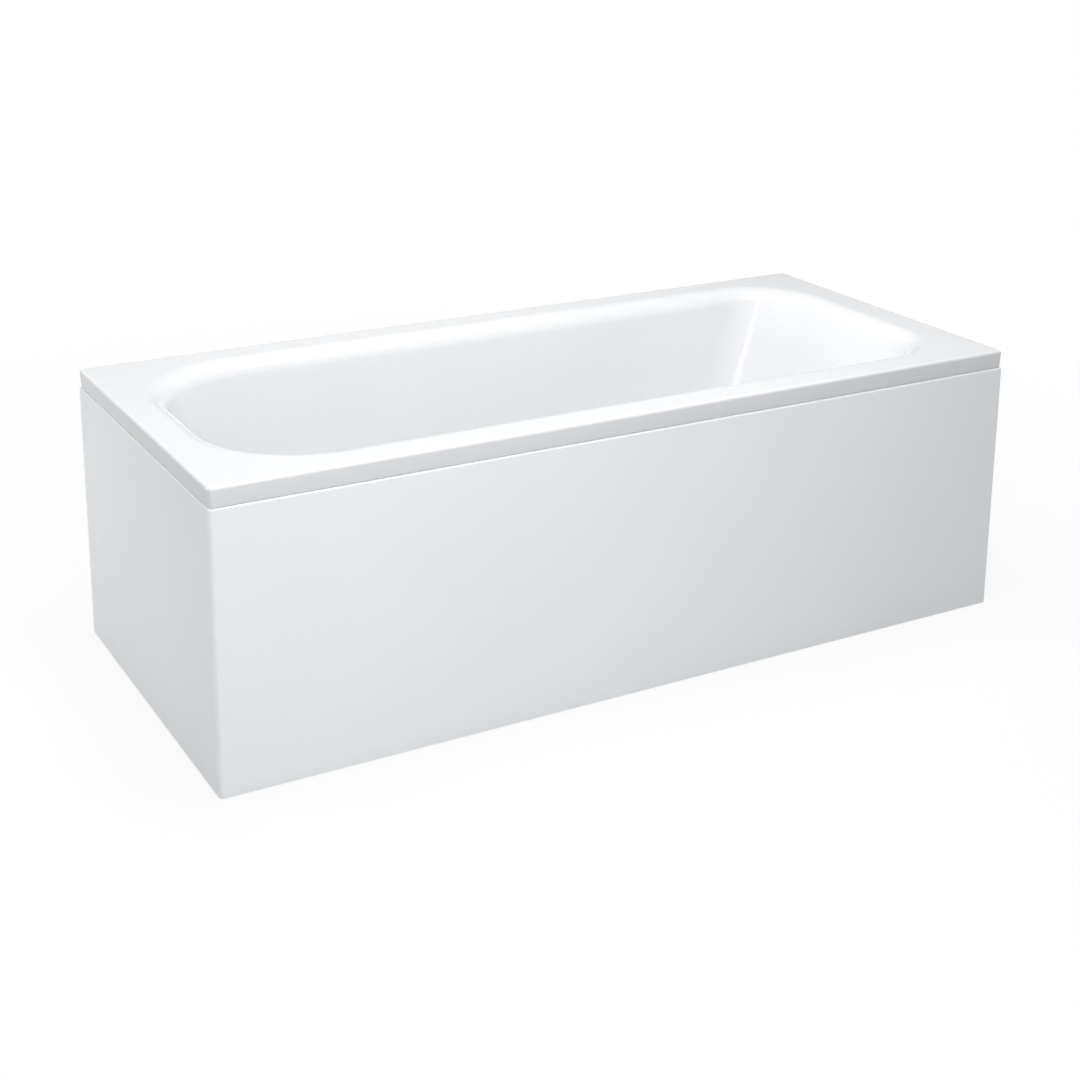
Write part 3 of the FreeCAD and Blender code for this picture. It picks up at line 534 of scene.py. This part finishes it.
# threaded rod: radius falls from the crest by a triangle wave of height less turn, ends drawn in by a chamfer
def threadRows(x, y, z0, z1, radius):
    turn = np.arange(spindle["around"]) / spindle["around"]
    z = np.linspace(z0, z1, int((z1 - z0) / spindle["pitch"] * spindle["perTurn"]) + 1).reshape(-1, 1)
    phase = (z / spindle["pitch"] - turn) % 1.0
    wave = radius - spindle["depth"] * (1 - np.abs(2 * phase - 1))
    ends = np.minimum(np.minimum(z - z0, z1 - z) - spindle["chamfer"], 0.0)
    r = np.minimum(wave, radius + ends)
    angle = turn * 2 * math.pi
    return np.stack([x + r * np.cos(angle), y + r * np.sin(angle), z + 0 * r], axis=-1)


legs = [(end, side) for end in ("foot", "head") for side in ("front", "back")]
for end, side in legs:
    name = "spindle_" + end + "_" + side
    low, high = np.array(frame["nodes"][name].bound_box)[[0, 6]] / mm
    x, y = (low + high)[:2] / 2
    rows = threadRows(x, y, low[2], high[2], (high[0] - low[0]) / 2)
    count, cols = rows.shape[:2]
    faces = gridQuads(count, cols, False, True) + endCaps(count, cols)
    rod = makePiece("thread" + end.title() + side.title(), rows, faces, [zinc], "leg_" + end + "_" + side,
                    sharp=spindle["sharp"])
    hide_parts(name)
print("spindles threaded:", len(legs))


# stage, light and camera, in metres

stageLook = {"size": 30.0, "floor": 0.84, "bounce": 0.45, "shown": 0.85, "mirrored": 0.6,
             "fade": (1.1, 2.6)}
white = (1, 1, 1, 1)


# one shader where the factor is 0, the other where it is 1
def addMix(tree, factor, first, second):
    mix = tree.nodes.new("ShaderNodeMixShader")
    tree.links.new(factor, mix.inputs["Fac"])
    tree.links.new(first, mix.inputs[1])
    tree.links.new(second, mix.inputs[2])
    return mix.outputs["Shader"]


# 1 for a ray that left a mirror or went through glass
def addMirrorRay(tree, path):
    return addMath(tree, "MAXIMUM", path.outputs["Is Glossy Ray"], path.outputs["Is Transmission Ray"])


# floor that shows white to the camera, dimmer to mirrors, and keeps part of its shadow near the object
def makeFloor():
    s = stageLook["size"]
    mesh = bpy.data.meshes.new("studioFloor")
    mesh.from_pydata([(-s, -s, 0), (s, -s, 0), (s, s, 0), (-s, s, 0)], [], [(0, 1, 2, 3)])
    material = bpy.data.materials.new("studioFloor")
    material.use_nodes = True
    tree = material.node_tree
    tree.nodes.clear()
    path = tree.nodes.new("ShaderNodeLightPath")
    coords = tree.nodes.new("ShaderNodeTexCoord")
    glow = tree.nodes.new("ShaderNodeEmission")
    glow.inputs["Color"].default_value = white
    addRange(tree, path.outputs["Is Camera Ray"], stageLook["mirrored"], 1.0, glow.inputs["Strength"])
    matt = tree.nodes.new("ShaderNodeBsdfDiffuse")
    diffuseRay = path.outputs["Is Diffuse Ray"]
    addRange(tree, diffuseRay, stageLook["floor"], stageLook["bounce"], matt.inputs["Color"])
    away = tree.nodes.new("ShaderNodeVectorMath")
    away.operation = "LENGTH"
    tree.links.new(coords.outputs["Object"], away.inputs[0])
    fade = tree.nodes.new("ShaderNodeMapRange")
    fade.inputs["From Min"].default_value, fade.inputs["From Max"].default_value = stageLook["fade"]
    fade.inputs["To Min"].default_value = stageLook["shown"]
    tree.links.new(away.outputs["Value"], fade.inputs["Value"])
    either = addMath(tree, "MAXIMUM", path.outputs["Is Camera Ray"], addMirrorRay(tree, path))
    seen = addMath(tree, "MULTIPLY", either, fade.outputs["Result"])
    out = tree.nodes.new("ShaderNodeOutputMaterial")
    tree.links.new(addMix(tree, seen, matt.outputs["BSDF"], glow.outputs["Emission"]), out.inputs["Surface"])
    mesh.materials.append(material)
    floor = bpy.data.objects.new("studioFloor", mesh)
    bpy.context.scene.collection.objects.link(floor)


worldLook = {"ambient": 0.30, "color": (0.97, 0.985, 1.0, 1), "horizon": 0.45, "zenith": 0.6, "rise": 0.5}


# background of one colour and strength
def addBackground(tree, color, strength=1.0):
    background = tree.nodes.new("ShaderNodeBackground")
    background.inputs["Color"].default_value = color
    background.inputs["Strength"].default_value = strength
    return background


# even ambient light; the camera sees plain white, mirrors see it shaded towards the horizon
def makeWorld():
    world = bpy.data.worlds.new("studioWorld")
    bpy.context.scene.world = world
    world.use_nodes = True
    tree = world.node_tree
    tree.nodes.clear()
    path = tree.nodes.new("ShaderNodeLightPath")
    coords = tree.nodes.new("ShaderNodeTexCoord")
    split = tree.nodes.new("ShaderNodeSeparateXYZ")
    tree.links.new(coords.outputs["Generated"], split.inputs["Vector"])
    soft = addBackground(tree, worldLook["color"], worldLook["ambient"])
    plain = addBackground(tree, white)
    mirrored = addBackground(tree, white)
    strength = mirrored.inputs["Strength"]
    rise = addRange(tree, split.outputs["Z"], worldLook["horizon"], worldLook["zenith"], strength)
    rise.interpolation_type = "SMOOTHSTEP"
    rise.inputs["From Max"].default_value = worldLook["rise"]
    lit = addMix(tree, addMirrorRay(tree, path), soft.outputs["Background"], mirrored.outputs["Background"])
    out = tree.nodes.new("ShaderNodeOutputWorld")
    shown = addMix(tree, path.outputs["Is Camera Ray"], lit, plain.outputs["Background"])
    tree.links.new(shown, out.inputs["Surface"])


# object set at a place by its own right, up and back directions
def placeObject(name, data, at, right, up, back):
    thing = bpy.data.objects.new(name, data)
    turn = Matrix(np.stack([right, up, back], axis=1).tolist()).to_4x4()
    thing.matrix_world = Matrix.Translation(at) @ turn
    bpy.context.scene.collection.objects.link(thing)
    return thing


lamps = {
    "keyLeft": {"at": (-2.0, -3.2, 2.3), "aim": (0.2, 0, 0.4), "size": (0.62, 1.6), "watts": 26.0},
    "frontLow": {"at": (-0.7, -2.3, 0.75), "aim": (-0.3, -0.375, 0.25), "size": (0.9, 0.7), "watts": 7.5,
                 "mirrored": False},
    "leftSide": {"at": (-2.7, 1.3, 0.95), "aim": (-0.85, 0.1, 0.35), "size": (1.2, 1.0), "watts": 24.0,
                 "mirrored": False},
    "overhead": {"at": (-0.12, -0.2, 3.0), "aim": (0.35, 0, 0.3), "size": (2.6, 1.0), "watts": 54.0},
    "overFront": {"at": (-1.0, -1.9, 2.7), "aim": (-0.5, -0.3, 0.3), "size": (1.4, 0.9), "watts": 21.0,
                  "mirrored": False},
    "headFill": {"at": (3.2, 0.5, 0.85), "aim": (0.85, 0, 0.3), "size": (1.6, 1.2), "watts": 21.0,
                 "mirrored": False},
    "backFill": {"at": (0.3, 3.2, 1.0), "aim": (0, 0.3, 0.25), "size": (2.6, 1.2), "watts": 15.0,
                 "mirrored": False},
}


# soft area lamps, each turned to its aim and out of the camera's sight; fills are kept out of mirrors
def makeLamps():
    for name, lamp in lamps.items():
        data = bpy.data.lights.new(name, "AREA")
        data.shape = "RECTANGLE"
        data.size, data.size_y = lamp["size"]
        data.energy = lamp["watts"]
        back = np.array(lamp["at"]) - np.array(lamp["aim"])
        back = back / np.linalg.norm(back)
        right = np.cross((0, 0, 1.0), back)
        right = right / np.linalg.norm(right)
        light = placeObject(name, data, lamp["at"], right, np.cross(back, right), back)
        light.visible_glossy = lamp.get("mirrored", True)
        light.visible_camera = False


# place in metres, angles in degrees; lens and middle in pixels of the frame, sensor in millimetres
shot = {"at": (-1.742, -3.046, 1.607), "azimuth": -29.374, "elevation": 15.0, "roll": 0.456, "pixels": 1829.0,
        "frame": 1080.0, "middle": (540.0, 307.8), "sensor": 36.0}


# camera at the photo's viewpoint, with the upright shift that the photo's framing needs
def makeCamera():
    a, e, r = [math.radians(shot[k]) for k in ("azimuth", "elevation", "roll")]
    back = np.array([math.sin(a) * math.cos(e), -math.cos(a) * math.cos(e), math.sin(e)])
    right = np.array([math.cos(a), math.sin(a), 0.0])
    up = np.cross(back, right)
    right, up = right * math.cos(r) + up * math.sin(r), up * math.cos(r) - right * math.sin(r)
    data = bpy.data.cameras.new("photoView")
    data.sensor_width = shot["sensor"]
    data.lens = shot["pixels"] / shot["frame"] * shot["sensor"]
    data.shift_x = (shot["frame"] / 2 - shot["middle"][0]) / shot["frame"]
    data.shift_y = (shot["middle"][1] - shot["frame"] / 2) / shot["frame"]
    bpy.context.scene.camera = placeObject("photoView", data, shot["at"], right, up, back)


makeFloor()
makeWorld()
makeLamps()
makeCamera()
bpy.context.scene.view_settings.view_transform = "Standard"
print("stage, lamps and camera made")
